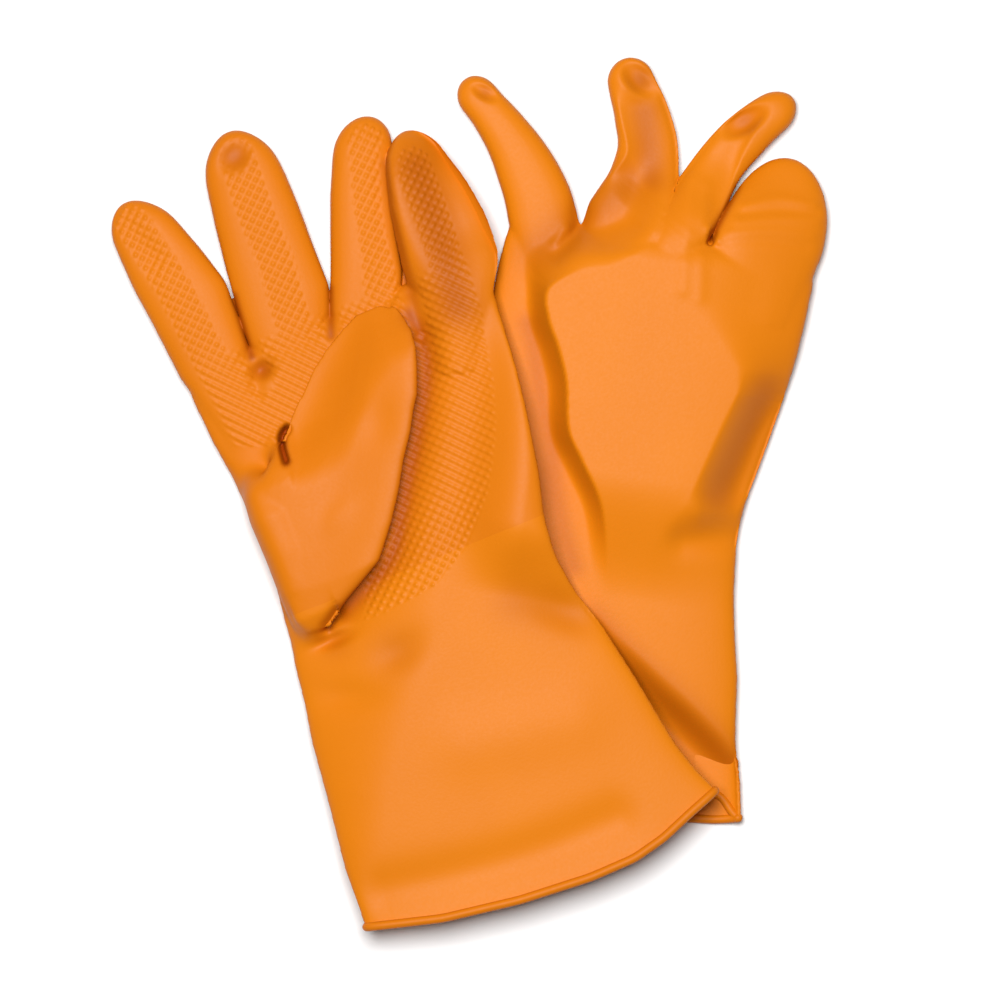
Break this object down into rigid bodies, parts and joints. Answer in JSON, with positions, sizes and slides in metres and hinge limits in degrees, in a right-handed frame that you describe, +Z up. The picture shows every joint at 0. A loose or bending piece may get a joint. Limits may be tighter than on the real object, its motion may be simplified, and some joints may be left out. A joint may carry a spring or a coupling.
{
  "type": "rubber gloves",
  "caption": "Pair of long rubber household gloves with textured palms and rolled cuffs, lying flat with one glove over the other.",
  "frame": {"origin": "centre of the pair's footprint, on the surface it lies on", "axes": "+Z up, +Y along the gloves towards the fingertips, +X towards the right glove"},
  "size_m": [0.2694, 0.3322, 0.0345],
  "materials": {
    "smooth_rubber": "satin, smooth dipped latex",
    "grip_rubber": "satin, with a raised diamond grip pattern on the palm side",
    "bead_rubber": "satin, rolled edge"
  },
  "bodies": {
    "right_glove": {"right_hand": "smooth_rubber", "right_gauntlet": "smooth_rubber", "right_cuff_bead": "bead_rubber"},
    "right_thumb": {"right_thumb": "smooth_rubber"},
    "right_index": {"right_index": "smooth_rubber"},
    "right_middle": {"right_middle": "smooth_rubber"},
    "right_ring": {"right_ring": "smooth_rubber"},
    "right_little": {"right_little": "smooth_rubber"},
    "left_glove": {"left_hand": "grip_rubber"},
    "left_cuff": {"left_gauntlet": "smooth_rubber", "left_cuff_bead": "bead_rubber"},
    "left_thumb": {"left_thumb": "smooth_rubber"},
    "left_index": {"left_index": "grip_rubber"},
    "left_middle": {"left_middle": "grip_rubber"},
    "left_ring": {"left_ring": "grip_rubber"},
    "left_little": {"left_little": "grip_rubber"}
  },
  "joints": [
    {"name": "left_glove_lift", "type": "slide", "parent": "right_glove", "child": "left_glove", "axis": [0, 0, 1], "range_m": [0, 0.12]},
    {"name": "right_index_bend", "type": "hinge", "parent": "right_glove", "child": "right_index", "pos_m": [0.02726, 0.1063, 0.01972], "axis": [0.9672, 0.2541, 0], "range_deg": [0, 50], "stiffness_Nm_per_rad": 0.01},
    {"name": "right_middle_bend", "type": "hinge", "parent": "right_glove", "child": "right_middle", "pos_m": [0.06071, 0.11648, 0.01504], "axis": [0.9616, -0.2743, 0], "range_deg": [0, 50], "stiffness_Nm_per_rad": 0.01},
    {"name": "right_ring_bend", "type": "hinge", "parent": "right_glove", "child": "right_ring", "pos_m": [0.08676, 0.10972, 0.01651], "axis": [0.904, -0.4276, 0], "range_deg": [0, 50], "stiffness_Nm_per_rad": 0.01},
    {"name": "right_little_bend", "type": "hinge", "parent": "right_glove", "child": "right_little", "pos_m": [0.11608, 0.10117, 0.01655], "axis": [0.9744, -0.225, 0], "range_deg": [0, 25], "stiffness_Nm_per_rad": 0.01},
    {"name": "left_index_bend", "type": "hinge", "parent": "left_glove", "child": "left_index", "pos_m": [-0.09829, 0.04976, 0.0116], "axis": [0.8847, 0.4661, 0], "range_deg": [0, 60], "stiffness_Nm_per_rad": 0.01},
    {"name": "left_middle_bend", "type": "hinge", "parent": "left_glove", "child": "left_middle", "pos_m": [-0.06886, 0.06157, 0.0116], "axis": [0.9701, 0.2429, 0], "range_deg": [0, 60], "stiffness_Nm_per_rad": 0.01},
    {"name": "left_ring_bend", "type": "hinge", "parent": "left_glove", "child": "left_ring", "pos_m": [-0.04086, 0.07292, 0.0116], "axis": [0.9995, -0.0307, 0], "range_deg": [0, 60], "stiffness_Nm_per_rad": 0.01},
    {"name": "left_little_bend", "type": "hinge", "parent": "left_glove", "child": "left_little", "pos_m": [-0.0083, 0.08039, 0.02312], "axis": [0.9945, 0.1051, 0], "range_deg": [0, 60], "stiffness_Nm_per_rad": 0.01},
    {"name": "left_thumb_open", "type": "hinge", "parent": "left_glove", "child": "left_thumb", "pos_m": [-0.05668, -0.0113, 0.0241], "axis": [0.3018, -0.9534, 0], "range_deg": [0, 110], "stiffness_Nm_per_rad": 0.01},
    {"name": "right_thumb_open", "type": "hinge", "parent": "right_glove", "child": "right_thumb", "pos_m": [0.02904, 0.02718, -0.0001], "axis": [0.2306, 0.973, 0], "range_deg": [0, 60], "stiffness_Nm_per_rad": 0.01},
    {"name": "left_cuff_fold", "type": "hinge", "parent": "left_glove", "child": "left_cuff", "pos_m": [-0.01093, -0.04335, 0.0254], "axis": [-0.9155, -0.368, -0.1628], "range_deg": [0, 50], "stiffness_Nm_per_rad": 0.05}
  ]
}
